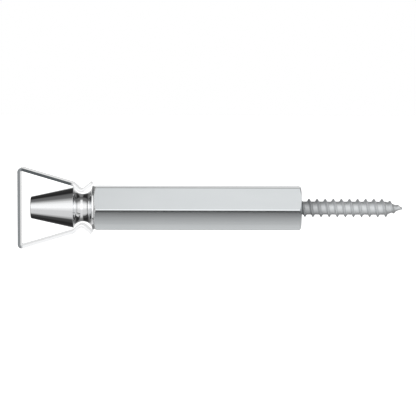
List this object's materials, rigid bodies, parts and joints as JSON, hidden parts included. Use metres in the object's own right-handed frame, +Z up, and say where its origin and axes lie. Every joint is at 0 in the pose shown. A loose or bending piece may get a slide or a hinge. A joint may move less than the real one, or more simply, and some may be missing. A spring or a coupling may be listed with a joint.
{
  "type": "wall anchor",
  "caption": "Stand-off wall anchor: lag-thread hanger screw, hexagonal spacer bar, grooved conical head and a push-on strip clip that holds a wire rope.",
  "frame": {"origin": "on the long axis, at the spacer bar's wall-side end face, where the lag thread leaves the bar", "axes": "+X along the lag screw into the wall, +Z up through a flat of the hexagon, Y across two corners; the clip's loop lies in the XZ plane"},
  "size_m": [0.1629, 0.0208, 0.034],
  "materials": {
    "satin_steel": "satin",
    "zinc_steel": "bright zinc",
    "polished_steel": "mirror polish",
    "spring_steel": "bright"
  },
  "bodies": {
    "anchor": {"hex_spacer": "satin_steel", "hanger_screw": "zinc_steel", "anchor_head": "polished_steel"},
    "clip": {"spring_clip": "spring_steel"}
  },
  "joints": [
    {"name": "clip_swivel", "type": "hinge", "parent": "anchor", "child": "clip", "pos_m": [-0.09241, 0, 0], "axis": [1, 0, 0], "continuous": true}
  ]
}
